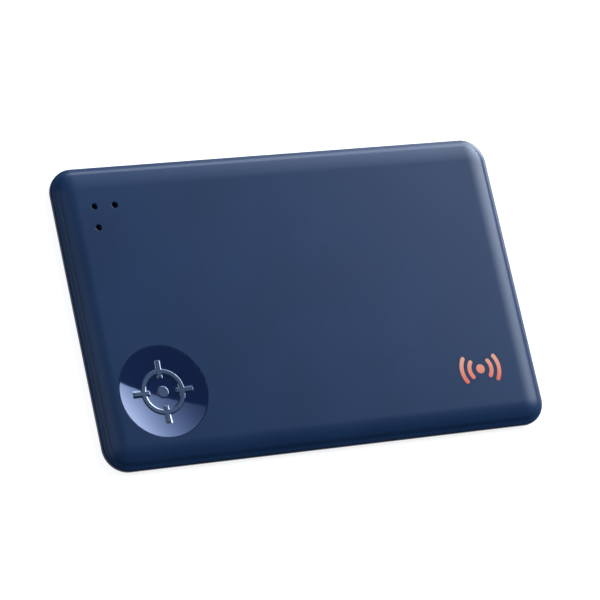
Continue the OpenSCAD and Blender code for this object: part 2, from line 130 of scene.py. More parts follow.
def flat_sheet(loops, height, depth, spacing=2.4 * MM, clear=0.4):
    """Flat patch at one height. Its points are the loops' own and a square grid's, less those that
    are nearer an edge than a clear share of the spacing; the triangles between them stay where
    depth(x, y), the distance inside the sheet's edges, is positive."""
    lines_x = np.arange(-card_length / 2, card_length / 2, spacing)
    lines_y = np.arange(-card_width / 2, card_width / 2, spacing)
    grid = np.stack(np.meshgrid(lines_x, lines_y), -1).reshape(-1, 2)
    grid = grid[depth(grid[:, 0], grid[:, 1]) > clear * spacing]
    flat = np.concatenate([loop[:, :2] for loop in loops] + [grid]) / MM
    starts = np.cumsum([0] + [len(loop) for loop in loops])
    ring = [start + np.arange(len(loop)) for start, loop in zip(starts, loops)]
    edges = np.concatenate([np.stack([r, np.roll(r, -1)], 1) for r in ring])
    made = delaunay_2d_cdt([Vector(p) for p in flat.tolist()], edges.tolist(), [], 0, 1e-7)
    points = np.array([tuple(p) for p in made[0]]) * MM
    faces = np.array(made[2])
    middle = points[faces].mean(1)
    faces = faces[depth(middle[:, 0], middle[:, 1]) > 0]
    return np.column_stack([points, np.full(len(points), height)]), faces


def shell(name, patches, body, replaced, materials, sharp=32, weld=3e-8):
    """Closed piece from patches whose edges meet: points within the weld distance are merged,
    faces turned outwards, and edges that turn by more than the sharp angle stay crisp. A patch is
    its points, its faces and, where the piece has two finishes, the finish of each face."""
    points = np.concatenate([patch[0] for patch in patches])
    starts = np.cumsum([0] + [len(patch[0]) for patch in patches])
    faces = [face for patch, start in zip(patches, starts) for face in (patch[1] + start).tolist()]
    finish = [patch[2] if len(patch) > 2 else np.zeros(len(patch[1]), int) for patch in patches]
    mesh = bpy.data.meshes.new(name)
    mesh.from_pydata(points.tolist(), [], faces)
    for material in materials:
        mesh.materials.append(material)
    mesh.polygons.foreach_set("material_index", np.concatenate(finish).astype(np.int32))
    work = bmesh.new()
    work.from_mesh(mesh)
    bmesh.ops.remove_doubles(work, verts=work.verts, dist=weld)
    loose = [vertex for vertex in work.verts if not vertex.link_faces]
    bmesh.ops.delete(work, geom=loose, context="VERTS")
    bmesh.ops.recalc_face_normals(work, faces=work.faces)
    if work.calc_volume(signed=True) < 0:
        bmesh.ops.reverse_faces(work, faces=work.faces)
    work.to_mesh(mesh)
    work.free()
    mesh.shade_smooth()
    mesh.set_sharp_from_angle(angle=math.radians(sharp))
    made = bpy.data.objects.new(name, mesh)
    bpy.context.collection.objects.link(made)
    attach(made, body)
    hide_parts(*replaced)
    return made


def node_material(name):
    """Empty node material: its node tree, its surface shader and its Object coordinates."""
    material = bpy.data.materials.new(name)
    material.use_nodes = True
    tree = material.node_tree
    shader = tree.nodes["Principled BSDF"]
    place = tree.nodes.new("ShaderNodeTexCoord").outputs["Object"]
    return material, tree, shader, place


def noise(tree, place, size, detail=2.0, stretch=None):
    """Noise whose features are about one size across, in metres, stretched along an axis if asked."""
    if stretch is not None:
        mapping = tree.nodes.new("ShaderNodeMapping")
        mapping.inputs["Scale"].default_value = stretch
        tree.links.new(place, mapping.inputs["Vector"])
        place = mapping.outputs["Vector"]
    made = tree.nodes.new("ShaderNodeTexNoise")
    made.inputs["Scale"].default_value = 1.0 / size
    made.inputs["Detail"].default_value = detail
    tree.links.new(place, made.inputs["Vector"])
    return made.outputs["Fac"]


def span(tree, value, start, end, low=0.0, high=1.0):
    """Range map: the value's start to end becomes low to high, and it stays there beyond them."""
    made = tree.nodes.new("ShaderNodeMapRange")
    made.inputs["From Min"].default_value = start
    made.inputs["From Max"].default_value = end
    made.inputs["To Min"].default_value = low
    made.inputs["To Max"].default_value = high
    tree.links.new(value, made.inputs["Value"])
    return made.outputs["Result"]


def between(tree, factor, low, high):
    """Range map for a noise, which mostly lies from 0.3 to 0.7: that becomes low to high."""
    return span(tree, factor, 0.3, 0.7, low, high)


def mix_colours(tree, share, first, second):
    """Colour that goes from first to second as the share goes from 0 to 1."""
    made = tree.nodes.new("ShaderNodeMix")
    made.data_type = "RGBA"
    made.inputs["A"].default_value = (*first, 1)
    made.inputs["B"].default_value = (*second, 1)
    tree.links.new(share, made.inputs["Factor"])
    return made.outputs["Result"]


def blend_colours(tree, factor, first, second):
    """Colour that goes from first to second over a noise's usual range."""
    return mix_colours(tree, between(tree, factor, 0, 1), first, second)


def bump(tree, shader, factor, height):
    """Relief of a given height, in metres, from a factor."""
    made = tree.nodes.new("ShaderNodeBump")
    made.inputs["Distance"].default_value = height
    tree.links.new(factor, made.inputs["Height"])
    tree.links.new(made.outputs["Normal"], shader.inputs["Normal"])


def shades(colour, *factors):
    """Darker or lighter shades of a colour, one for each factor."""
    return [tuple(factor * channel for channel in colour) for factor in factors]


def blasted_plastic(name, colour, roughness, grain_height):
    """Matte moulded plastic: a fine grain in relief and roughness, and a slow drift of colour."""
    material, tree, shader, place = node_material(name)
    drift = noise(tree, place, size=14 * MM, detail=3)
    tint = blend_colours(tree, drift, *shades(colour, 0.92, 1.08))
    tree.links.new(tint, shader.inputs["Base Color"])
    grain = noise(tree, place, size=0.22 * MM, detail=3)
    rough = between(tree, grain, roughness - 0.03, roughness + 0.03)
    tree.links.new(rough, shader.inputs["Roughness"])
    shader.inputs["IOR"].default_value = 1.5
    shader.inputs["Specular IOR Level"].default_value = 0.11
    bump(tree, shader, grain, grain_height)
    return material


def peg(x, y):
    """Round peg with a chamfered head, rooted in the floor."""
    section = [(0, floor_top - root_depth), (peg_radius, floor_top - root_depth),
               (peg_radius, peg_top - inner_round), (peg_radius - inner_round, peg_top),
               (0, peg_top)]
    return skin(turned_rows((x, y), section, 32))


def bar(low, high, round_over):
    """Upright bar: a rounded rectangle carried up its height and drawn in at its head. The head's
    round is three points, as shares of the round inwards and down."""
    centre = (low + high) / 2
    half = (high - low) / 2
    angle = np.linspace(0, math.pi / 2, 5) + np.arange(4)[:, None] * math.pi / 2
    inwards, down = round_over * np.array([(0, 1), (0.5, 0.15), (1, 0)]).T
    drawn = np.array([half.min(), 0, *inwards, half.min()])[:, None, None]
    height = np.array([low[2], low[2], *(high[2] - down), high[2]])[:, None, None]
    reach = np.maximum(round_over - drawn, 0)
    side_x = np.array([1, -1, -1, 1])[:, None] * (half[0] - np.maximum(drawn, round_over))
    side_y = np.array([1, 1, -1, -1])[:, None] * (half[1] - np.maximum(drawn, round_over))
    x = centre[0] + side_x + reach * np.cos(angle)
    y = centre[1] + side_y + reach * np.sin(angle)
    rows = np.stack([x, y, np.broadcast_to(height, x.shape)], -1)
    return skin(rows.reshape(len(rows), -1, 3))


navy_plastic = blasted_plastic(
    "navy_plastic", colour=(0.0046, 0.0152, 0.0408), roughness=0.30, grain_height=0.004 * MM)
rear_section = np.concatenate([
    [(lower_round + flat_lead, 0)],
    arc(lower_round, lower_round, lower_round, -90, -180, 14),
    arc(rim_round, rim_top - rim_round, rim_round, 180, 90, 8),
    [(rim_width, rim_top), (rim_width, ledge_height), (side_wall, ledge_height),
     (side_wall, floor_top + inner_round)],
    arc(side_wall + inner_round, floor_top + inner_round, inner_round, 180, 270, 4),
    [(side_wall + flat_lead, floor_top)],
])
rear_rows = outline_rows(rear_section)
outer_flat = rear_section[0][0]
inner_flat = rear_section[-1][0]
peg_places = [
    (board_high[0] - peg_inset_x, board_high[1] - peg_inset_y),
    (board_high[0] - peg_inset_x, board_low[1] + peg_inset_y),
    (board_low[0] + peg_inset_x, end_peg_y),
]
rib_low = np.array([rib_place - rib_width / 2, -rib_half_length, floor_top - root_depth])
rib_high = np.array([rib_place + rib_width / 2, rib_half_length, rib_top])
shell("rear_case", [
    skin(rear_rows),
    flat_sheet([rear_rows[0]], 0, lambda x, y: inside_outline(x, y, outer_flat)),
    flat_sheet([rear_rows[-1]], floor_top, lambda x, y: inside_outline(x, y, inner_flat)),
    *[peg(x, y) for x, y in peg_places],
    bar(rib_low, rib_high, inner_round),
], "case", ["rear_housing"], [navy_plastic])

# Board adhesive and circuit board. Double-sided white tape holds a 0.4 mm glass-epoxy board on
# the housing's floor. The board has a green solder mask over a faint net of copper.


def dress(material, *nodes):
    """Gives carried-over nodes their material."""
    for node in nodes:
        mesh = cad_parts[node].data
        mesh.materials.clear()
        mesh.materials.append(material)


def paper_tape(name, colour):
    """Double-sided tape: long fibres, a little darker between them, under a soft sheen."""
    material, tree, shader, place = node_material(name)
    fibres = noise(tree, place, size=0.6 * MM, detail=4, stretch=(1, 6, 1))
    tree.links.new(blend_colours(tree, fibres, *shades(colour, 0.88, 1)), shader.inputs["Base Color"])
    shader.inputs["Roughness"].default_value = 0.55
    bump(tree, shader, fibres, 0.01 * MM)
    return material


def solder_mask():
    """Green mask over copper: traces as the edges of uneven cells, raised and a little lighter."""
    material, tree, shader, place = node_material("solder_mask")
    cells = tree.nodes.new("ShaderNodeTexVoronoi")
    cells.feature = "DISTANCE_TO_EDGE"
    cells.inputs["Scale"].default_value = 1 / (1.6 * MM)
    cells.inputs["Randomness"].default_value = 0.35
    tree.links.new(place, cells.inputs["Vector"])
    trace = span(tree, cells.outputs["Distance"], 0.10, 0.05)
    tint = mix_colours(tree, trace, (0.006, 0.075, 0.03), (0.02, 0.16, 0.06))
    tree.links.new(tint, shader.inputs["Base Color"])
    shader.inputs["Roughness"].default_value = 0.28
    bump(tree, shader, trace, 0.02 * MM)
    return material


white_tape = paper_tape("white_tape", (0.80, 0.79, 0.75))
dress(white_tape, "board_adhesive")
dress(solder_mask(), "circuit_board")

# Copper on the board. Lands and test points are copper with a gold flash, and the antenna is a
# copper meander under a thin coat; the contacts under the switch are gilded too.


def metal(name, colour, roughness, size, height, stretch=None):
    """Metal sheet or plating: its roughness and relief follow one noise, stretched if it's rolled."""
    material, tree, shader, place = node_material(name)
    wear = noise(tree, place, size, detail=3, stretch=stretch)
    tree.links.new(blend_colours(tree, wear, *shades(colour, 0.9, 1)), shader.inputs["Base Color"])
    shader.inputs["Metallic"].default_value = 1.0
    rough = between(tree, wear, roughness - 0.06, roughness + 0.06)
    tree.links.new(rough, shader.inputs["Roughness"])
    bump(tree, shader, wear, height)
    return material


gold_flash = metal("gold_flash", (0.95, 0.70, 0.28), 0.28, 0.3 * MM, 0.002 * MM)
dress(gold_flash, "board_pads", "switch_pads")
dress(metal("coated_copper", (0.80, 0.42, 0.22), 0.35, 0.4 * MM, 0.002 * MM), "antenna_trace")

# Chips and small parts, soldered onto the board's face. The chips are black moulding resin, the
# crystals have seam-welded metal lids, and the small two-ended parts are fired ceramic.


def speckled(name, colour, fleck, roughness, size, height):
    """Filled resin or fired ceramic: flecks of a second colour, and a relief from them."""
    material, tree, shader, place = node_material(name)
    flecks = noise(tree, place, size, detail=4)
    tree.links.new(blend_colours(tree, flecks, colour, fleck), shader.inputs["Base Color"])
    rough = between(tree, flecks, roughness + 0.05, roughness - 0.05)
    tree.links.new(rough, shader.inputs["Roughness"])
    bump(tree, shader, flecks, height)
    return material


moulding_resin = speckled(
    "moulding_resin", (0.010, 0.010, 0.012), (0.025, 0.025, 0.027), 0.55, 0.12 * MM, 0.004 * MM)
dress(moulding_resin, "radio_chip", "buzzer_driver")
lid_metal = metal("lid_metal", (0.72, 0.70, 0.64), 0.30, 0.25 * MM, 0.002 * MM, (1, 8, 1))
dress(lid_metal, "radio_crystal", "clock_crystal")
dress(speckled("ferrite", (0.020, 0.020, 0.022), (0.05, 0.05, 0.052), 0.6, 0.1 * MM, 0.01 * MM),
      "boost_inductor")
tan_ceramic = speckled(
    "tan_ceramic", (0.33, 0.20, 0.10), (0.42, 0.27, 0.15), 0.38, 0.15 * MM, 0.003 * MM)
dress(tan_ceramic, "reservoir_capacitors", "ceramic_capacitors")
dress(speckled("black_glaze", (0.012, 0.012, 0.014), (0.03, 0.03, 0.03), 0.3, 0.2 * MM, 0.002 * MM),
      "chip_resistors")
dress(speckled("pale_ceramic", (0.42, 0.45, 0.50), (0.55, 0.57, 0.60), 0.4, 0.15 * MM, 0.003 * MM),
      "matching_inductors")

# Snap dome and its film. A trimmed dome of spring steel stands on the contact ring, and a clear
# amber film with an acrylic adhesive holds it down. Both flatten when the button is pressed.
dome_low, dome_high = (np.array(corner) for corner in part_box("switch_dome"))
film_low, film_high = (np.array(corner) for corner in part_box("dome_film"))
switch_centre = ((dome_low + dome_high) / 2)[:2]
dome_radius = (dome_high[0] - dome_low[0]) / 2
dome_height = dome_high[2] - dome_low[2]
dome_trim = (dome_high[1] - dome_low[1]) / (2 * dome_radius)
dome_sheet = 0.06 * MM
film_sheet = 0.05 * MM
film_clearance = 0.005 * MM
film_bed = 0.05 * MM
film_radius = (film_high[0] - film_low[0]) / 2


def bowl_height(radius, reach, height):
    """Height of a spherical bowl over its rim's level: 0 at the reach, and the height at its middle."""
    sphere = (reach ** 2 + height ** 2) / (2 * height)
    return np.sqrt(np.maximum(sphere ** 2 - radius ** 2, 0)) - (sphere - height)


def snap_dome():
    """Dome as rows of loops from its crown to its rim and back under it. Each loop is a circle
    whose y is kept within the trimmed half width."""
    share = np.linspace(0, 1, 22)
    top = np.stack([share * dome_radius, bowl_height(share * dome_radius, dome_radius, dome_height)], 1)
    under = np.stack([top[:, 0], np.maximum(top[:, 1] - dome_sheet, 0)], 1)[::-1]
    rows = turned_rows(switch_centre, np.concatenate([top, under]), 96)
    half = dome_trim * dome_radius
    rows[:, :, 1] = np.clip(rows[:, :, 1], switch_centre[1] - half, switch_centre[1] + half)
    across = rows[:, :, :2] - switch_centre
    reach = np.hypot(across[:, :, 0], across[:, :, 1])
    level = bowl_height(reach, dome_radius, dome_height)
    level[len(top):] = np.maximum(level[len(top):] - dome_sheet, 0)
    rows[:, :, 2] = dome_low[2] + level
    return skin(rows)


def dome_film():
    """Film as a turned sheet that follows the dome a hair above it and lies flat round it."""
    share = np.linspace(0, 1, 20)
    bed = share * (dome_radius + film_bed)
    level = np.maximum(bowl_height(bed, dome_radius, dome_height) + film_clearance, 0)
    top = np.stack([bed, level + film_sheet], 1)
    under = np.stack([bed, level], 1)
    section = np.concatenate([top, [(film_radius, film_sheet), (film_radius, 0)], under[::-1]])
    section[:, 1] += film_low[2]
    return skin(turned_rows(switch_centre, section, 96))


spring_steel = metal("spring_steel", (0.78, 0.79, 0.80), 0.22, 0.2 * MM, 0.002 * MM, (1, 12, 1))
snap = shell("snap_dome", [snap_dome()], "case", ["switch_dome"], [spring_steel])
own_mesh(snap)


def amber_film():
    """Glossy amber film: a slow drift from yellow to orange."""
    material, tree, shader, place = node_material("amber_film")
    drift = noise(tree, place, size=2 * MM)
    tint = blend_colours(tree, drift, (0.55, 0.22, 0.02), (0.70, 0.33, 0.04))
    tree.links.new(tint, shader.inputs["Base Color"])
    shader.inputs["Roughness"].default_value = 0.18
    bump(tree, shader, drift, 0.01 * MM)
    return material


amber = amber_film()
film = shell("switch_film", [dome_film()], "case", ["dome_film"], [amber])
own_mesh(film)

# Flat pouch cell. An aluminium-laminate pocket drawn round the wound cell and heat-sealed along
# its edges, with nickel tabs out of its terrace, tape over the terrace, adhesive under it and a
# foam pad on top that takes up the room to the front cover.


def laminate():
    """Aluminium laminate: satin, with faint rolling lines and shallow wrinkles."""
    material, tree, shader, place = node_material("cell_laminate")
    wrinkles = noise(tree, place, size=7 * MM, detail=4)
    lines = noise(tree, place, size=0.5 * MM, stretch=(0.05, 2, 1))
    tint = blend_colours(tree, lines, (0.60, 0.61, 0.63), (0.72, 0.73, 0.74))
    tree.links.new(tint, shader.inputs["Base Color"])
    shader.inputs["Metallic"].default_value = 0.9
    tree.links.new(between(tree, lines, 0.30, 0.42), shader.inputs["Roughness"])
    bump(tree, shader, wrinkles, 0.08 * MM)
    return material


def foam(name):
    """Closed-cell foam: small round cells as dents."""
    material, tree, shader, place = node_material(name)
    cells = tree.nodes.new("ShaderNodeTexVoronoi")
    cells.inputs["Scale"].default_value = 1 / (0.25 * MM)
    tree.links.new(place, cells.inputs["Vector"])
    tint = blend_colours(tree, cells.outputs["Distance"], (0.012, 0.012, 0.014), (0.03, 0.03, 0.033))
    tree.links.new(tint, shader.inputs["Base Color"])
    shader.inputs["Roughness"].default_value = 0.85
    bump(tree, shader, cells.outputs["Distance"], 0.05 * MM)
    return material


dress(laminate(), "battery_cell")
nickel = metal("nickel_strip", (0.70, 0.68, 0.62), 0.32, 0.3 * MM, 0.003 * MM, (8, 1, 1))
dress(nickel, "battery_tab_positive", "battery_tab_negative")
dress(amber, "battery_terrace_tape")
dress(white_tape, "battery_adhesive")
foam_pad = foam("foam_pad")
dress(foam_pad, "battery_foam")

# Buzzer. A piezo bender, a ceramic disc bonded to a brass plate, hangs from the front cover on a
# foam ring. Two gilded bronze fingers on the board press on the ceramic and on the plate.
brass_sheet = metal("brass_sheet", (0.86, 0.66, 0.30), 0.30, 0.3 * MM, 0.003 * MM, (1, 10, 1))
dress(brass_sheet, "buzzer_plate")
dress(speckled("piezo_ceramic", (0.62, 0.60, 0.54), (0.74, 0.72, 0.66), 0.45, 0.3 * MM, 0.004 * MM),
      "buzzer_ceramic")
dress(foam_pad, "buzzer_foam_ring")
dress(metal("gilded_bronze", (0.90, 0.66, 0.34), 0.25, 0.2 * MM, 0.002 * MM),
      "buzzer_spring_inner", "buzzer_spring_outer")

# Acoustic membrane. A black porous film on a ring of adhesive under the three sound holes: it
# lets the buzzer's sound out and keeps water and pocket lint from getting in.


def porous_film():
    """Black woven film: two fine crossed waves as its relief."""
    material, tree, shader, place = node_material("porous_film")
    height = None
    for direction in ("X", "Y"):
        wave = tree.nodes.new("ShaderNodeTexWave")
        wave.bands_direction = direction
        wave.inputs["Scale"].default_value = 1 / (0.5 * MM)
        tree.links.new(place, wave.inputs["Vector"])
        if height is None:
            height = wave.outputs["Fac"]
        else:
            both = tree.nodes.new("ShaderNodeMath")
            both.operation = "MULTIPLY"
            tree.links.new(height, both.inputs[0])
            tree.links.new(wave.outputs["Fac"], both.inputs[1])
            height = both.outputs["Value"]
    tint = blend_colours(tree, height, (0.001, 0.001, 0.002), (0.004, 0.004, 0.005))
    tree.links.new(tint, shader.inputs["Base Color"])
    shader.inputs["Roughness"].default_value = 0.9
    shader.inputs["Specular IOR Level"].default_value = 0.15
    bump(tree, shader, height, 0.02 * MM)
    return material


dress(porous_film(), "acoustic_membrane")
dress(white_tape, "membrane_adhesive")

# Perimeter seal. A bead of dark, cured adhesive on the ledge inside the housing's rim, which
# bonds the front cover's edge band.
dress(speckled("cured_bead", (0.006, 0.007, 0.010), (0.012, 0.013, 0.016), 0.5, 0.5 * MM, 0.01 * MM),
      "perimeter_seal")

# Front cover. The upper half of the case, in the same navy plastic: a flat face whose shoulder
# falls in a soft crown to a step and a narrow shelf round the edge. It has a seat for the button,
# three sound holes and a shallow recess for the printed mark.
cover_low, cover_high = (np.array(corner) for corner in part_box("front_cover"))
cap_low, cap_high = (np.array(corner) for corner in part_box("button_cap"))
mark_low, mark_high = (np.array(corner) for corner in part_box("printed_mark"))
hole_low, hole_high = (np.array(corner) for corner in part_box("acoustic_membrane"))
face = cover_high[2]
cover_inset = (card_length - (cover_high[0] - cover_low[0])) / 2
cover_base = cover_low[2]
cover_under = face - 0.5 * MM
cover_band = 2.2 * MM
shelf_start = cover_inset + 0.42 * MM
shelf_step = 0.16 * MM
shelf_round = 0.07 * MM
shoulder_inset = 1.4 * MM
crown_inset = 4.3 * MM
crown_drop = 0.46 * MM
crown_lead = 0.15 * MM
hole_lead = 0.03 * MM
sound_radius = 0.55 * MM
sound_break = 0.09 * MM
sound_pitch = 3.8 * MM
sound_centre = ((hole_low + hole_high) / 2)[:2] + np.array([-1, 1]) * sound_pitch / 2
sound_places = sound_centre + sound_pitch * np.array([(0, 0), (1, 0), (0, -1)])
button_centre = ((cap_low + cap_high) / 2)[:2]
button_radius = 8.1 * MM
flange_width = (cap_high[0] - cap_low[0]) / 2 - button_radius
cap_gap = 0.08 * MM
lip_gap = 0.02 * MM
flange_gap = 0.2 * MM
boss_wall = 1.1 * MM
cap_under = face - 0.85 * MM
flange_top = cap_under + 0.2 * MM
lip_height = flange_top + lip_gap
seat_radius = button_radius + flange_width + flange_gap
boss_radius = seat_radius + boss_wall
boss_base = cap_under - 0.2 * MM
seat_break = 0.03 * MM
mark_centre = ((mark_low + mark_high) / 2)[:2]
mark_line = 0.8 * MM
mark_dot = 0.85 * MM
mark_arcs = [(2.2 * MM, 38), (3.75 * MM, 34)]
mark_depth = 0.06 * MM
mark_break = 0.01 * MM


def mark_outlines(grow):
    """Loops of the mark: a dot, and on each side two bent bars. A bar's loop is an outer arc, a
    round end, an inner arc and a round end, all moved outwards by grow."""
    angle = np.linspace(0, 2 * math.pi, 64, endpoint=False)
    loops = [(mark_dot + grow) * np.stack([np.cos(angle), np.sin(angle)], 1)]
    half = mark_line / 2 + grow
    end = np.linspace(0, math.pi, 15)[1:-1]
    for radius, degrees in mark_arcs:
        reach = math.radians(degrees)
        sweep = np.linspace(-reach, reach, 41)
        tip = radius * np.array([math.cos(reach), math.sin(reach)])
        outer = (radius + half) * np.stack([np.cos(sweep), np.sin(sweep)], 1)
        inner = (radius - half) * np.stack([np.cos(-sweep), np.sin(-sweep)], 1)
        upper = tip + half * np.stack([np.cos(reach + end), np.sin(reach + end)], 1)
        lower_turn = math.pi - reach + end
        lower = tip * (1, -1) + half * np.stack([np.cos(lower_turn), np.sin(lower_turn)], 1)
        loop = np.concatenate([outer, upper, inner, lower])
        loops += [loop, -loop]
    return [mark_centre + loop for loop in loops]


def outside_mark(x, y, grow):
    """Distance from the mark's shapes, negative inside them: to the dot's circle, and to each
    bar's middle line less half its width."""
    dx = np.abs(x - mark_centre[0])
    dy = np.abs(y - mark_centre[1])
    away = np.hypot(dx, dy)
    nearest = away - mark_dot - grow
    for radius, degrees in mark_arcs:
        reach = math.radians(degrees)
        to_tip = np.hypot(dx - radius * math.cos(reach), dy - radius * math.sin(reach))
        to_line = np.where(np.arctan2(dy, dx) <= reach, np.abs(away - radius), to_tip)
        nearest = np.minimum(nearest, to_line - mark_line / 2 - grow)
    return nearest


def outside_circles(x, y, centres, radius):
    """Distance outside the nearest of some equal circles."""
    return np.min([np.hypot(x - cx, y - cy) for cx, cy in centres], axis=0) - radius


def lifted(loop, height):
    """Flat loop at a height."""
    return np.column_stack([loop, np.full(len(loop), height)])


def edge_height(inset):
    """Height of the front cover's edge. Outside the shoulder's foot it follows the line of the
    shoulder's slope, less a step that a smooth step function takes up; inside, it is a parabola."""
    slope = 2 * crown_drop / (crown_inset - shoulder_inset)
    part = np.clip((inset - shelf_start) / (shoulder_inset - shelf_start), 0, 1)
    step = shelf_step * (1 - part * part * (3 - 2 * part))
    shelf = face - crown_drop - slope * (shoulder_inset - inset) - step
    crown = face - crown_drop * ((crown_inset - inset) / (crown_inset - shoulder_inset)) ** 2
    return np.where(inset < shoulder_inset, shelf, crown)


edge_slope = math.degrees(math.atan2(2 * crown_drop, crown_inset - shoulder_inset))
round_end = cover_inset + shelf_round * (1 - math.sin(math.radians(edge_slope)))
round_centre = edge_height(round_end) - shelf_round * math.cos(math.radians(edge_slope))
insets = np.concatenate([
    np.linspace(crown_inset, shoulder_inset, 22)[:-1],
    np.linspace(shoulder_inset, shelf_start, 20)[:-1],
    np.linspace(shelf_start, round_end, 4),
])
pocket_inset = cover_inset + cover_band
cover_section = np.concatenate([
    [(crown_inset + crown_lead, face)],
    np.stack([insets, edge_height(insets)], 1),
    arc(cover_inset + shelf_round, round_centre, shelf_round, 90 + edge_slope, 180, 6)[1:],
    [(cover_inset, cover_base), (pocket_inset, cover_base), (pocket_inset, cover_under)],
])
cover_rows = outline_rows(cover_section)
sound_section = np.concatenate([
    [(sound_radius + sound_break + hole_lead, face)],
    arc(sound_radius + sound_break, face - sound_break, sound_break, 90, 180, 5),
    [(sound_radius, cover_under)],
])
sound_rows = [turned_rows(place, sound_section, 40) for place in sound_places]
seat_section = np.concatenate([
    [(button_radius + cap_gap + seat_break + hole_lead, face)],
    arc(button_radius + cap_gap + seat_break, face - seat_break, seat_break, 90, 180, 4),
    [(button_radius + cap_gap, lip_height), (seat_radius, lip_height), (seat_radius, boss_base),
     (boss_radius, boss_base), (boss_radius, cover_under)],
])
seat_rows = turned_rows(button_centre, seat_section, 192)
mark_edge = mark_outlines(mark_break)
mark_foot = mark_outlines(0)


def face_depth(x, y):
    """Distance inside the face's edges: its crown, its holes and the mark's recess."""
    holes = outside_circles(x, y, sound_places, sound_section[0][0])
    seat = outside_circles(x, y, [button_centre], seat_section[0][0])
    edge = inside_outline(x, y, cover_section[0][0])
    return np.min([edge, holes, seat, outside_mark(x, y, mark_break)], axis=0)


def ceiling_depth(x, y):
    """Distance inside the edges of the cover's underside: its pocket, the boss and the holes."""
    holes = outside_circles(x, y, sound_places, sound_radius)
    boss = outside_circles(x, y, [button_centre], boss_radius)
    return np.min([inside_outline(x, y, pocket_inset), holes, boss], axis=0)


face_loops = [cover_rows[0], seat_rows[0], *[rows[0] for rows in sound_rows], *mark_edge]
ceiling_loops = [cover_rows[-1], seat_rows[-1], *[rows[-1] for rows in sound_rows]]
recess_walls = [
    skin(np.stack([lifted(edge, face), lifted(foot, face - mark_depth)]))
    for edge, foot in zip(mark_edge, mark_foot)
]
shell("front_case", [
    skin(cover_rows),
    skin(seat_rows),
    *[skin(rows) for rows in sound_rows],
    *recess_walls,
    flat_sheet(face_loops, face, face_depth),
    flat_sheet(mark_foot, face - mark_depth, lambda x, y: -outside_mark(x, y, 0)),
    flat_sheet(ceiling_loops, cover_under, ceiling_depth),
], "case", ["front_cover"], [navy_plastic])

# Printed mark. Coral ink laid into the recess, a dot with two waves on either side. The ink is
# satin; its colour is painted deeper towards the card's lower edge and lighter, towards salmon, at its
# top: painted shade and light over the coral ink.
ink_top = mark_high[2]
ink_base = mark_low[2]
ink_round = 0.012 * MM
ink_grow = -0.005 * MM
crest_grow = ink_grow - ink_round


def coral_ink():
    """Coral ink with a fine mottle, painted deeper at its lower edge and lighter, to salmon, at its top as
    painted shade and light.
    """
    material, tree, shader, place = node_material("coral_ink")
    split = tree.nodes.new("ShaderNodeSeparateXYZ")
    tree.links.new(place, split.inputs["Vector"])
    # Painted light and shade: the ink's colour is painted lighter towards its top and deeper towards the
    # card's lower edge.
    painted_light_ramp = span(tree, split.outputs["Y"], mark_low[1], mark_high[1])
    tint = mix_colours(tree, painted_light_ramp, (0.39, 0.066, 0.037), (0.42, 0.196, 0.118))
    tree.links.new(tint, shader.inputs["Base Color"])
    mottle = noise(tree, place, size=0.25 * MM, detail=3)
    tree.links.new(between(tree, mottle, 0.34, 0.44), shader.inputs["Roughness"])
    shader.inputs["Specular IOR Level"].default_value = 0.11
    bump(tree, shader, mottle, 0.002 * MM)
    return material


ink_sides = [
    skin(np.stack([lifted(crest, ink_top), lifted(edge, ink_top - ink_round), lifted(edge, ink_base)]))
    for crest, edge in zip(mark_outlines(crest_grow), mark_outlines(ink_grow))
]
shell("mark_ink", [
    *ink_sides,
    flat_sheet(mark_outlines(crest_grow), ink_top, lambda x, y: -outside_mark(x, y, crest_grow)),
    flat_sheet(mark_outlines(ink_grow), ink_base, lambda x, y: -outside_mark(x, y, ink_grow)),
], "case", ["printed_mark"], [coral_ink()])

# Button diaphragm. A ring of grey silicone bonded under the cap and under the cover's seat: it
# keeps water out and rolls down when the button is pressed.
seal_low, seal_high = (np.array(corner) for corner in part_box("button_diaphragm"))
seal_sheet = 0.1 * MM
seal_bond = button_radius - 1.4 * MM
seal_hole = seal_bond - 2 * MM
seal_roll = button_radius + 0.3 * MM
seal_edge = (seal_high[0] - seal_low[0]) / 2
seal_travel = seal_high[2] - seal_low[2]


def rolled_sheet():
    """Turned sheet: flat at both bonds, and between them a half wave of cosine from one level to
    the other, with the underside a sheet's thickness lower."""
    share = np.linspace(0, 1, 17)
    radius = np.concatenate([[seal_hole], seal_bond + (seal_roll - seal_bond) * share, [seal_edge]])
    drop = (seal_travel - seal_sheet) * (1 - np.cos(math.pi * share)) / 2
    level = np.concatenate([[seal_high[2]], seal_high[2] - drop, [seal_low[2] + seal_sheet]])
    over = np.stack([radius, level], 1)
    under = (over - (0, seal_sheet))[::-1]
    section = np.concatenate([over, under, over[:1]])
    return skin(turned_rows(button_centre, section, 128))


def silicone():
    """Grey silicone: soft, slightly glossy, with faint cloudiness."""
    material, tree, shader, place = node_material("silicone")
    cloud = noise(tree, place, size=1.5 * MM, detail=3)
    tint = blend_colours(tree, cloud, (0.26, 0.29, 0.33), (0.34, 0.37, 0.41))
    tree.links.new(tint, shader.inputs["Base Color"])
    tree.links.new(between(tree, cloud, 0.38, 0.5), shader.inputs["Roughness"])
    shader.inputs["IOR"].default_value = 1.41
    bump(tree, shader, cloud, 0.01 * MM)
    return material


diaphragm = shell(
    "diaphragm_ring", [rolled_sheet()], "case", ["button_diaphragm"], [silicone()])
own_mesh(diaphragm)

# Button cap. A round cap with a polished dish, in darker navy. The locating symbol in the dish, a
# ring with a dot and four ticks, stands proud of it and has the case's matte grain. A flange
# under the cover's lip keeps the cap in, and a pip below it presses the snap dome.
dish_depth = 0.45 * MM
symbol_rise = 0.14 * MM
symbol_ring = 3.6 * MM
symbol_line = 0.7 * MM
symbol_dot = 0.95 * MM
tick_root = 2.5 * MM
tick_tip = 5.5 * MM
symbol_edge = 0.05 * MM
row_clear = 0.06 * MM
middle_columns = 0.25 * MM
least_reach = 1.6 * MM
cap_break = 0.05 * MM
rim_break = 0.02 * MM
matte_share = 0.02
pip_radius = 1.3 * MM
pip_base = cap_low[2]


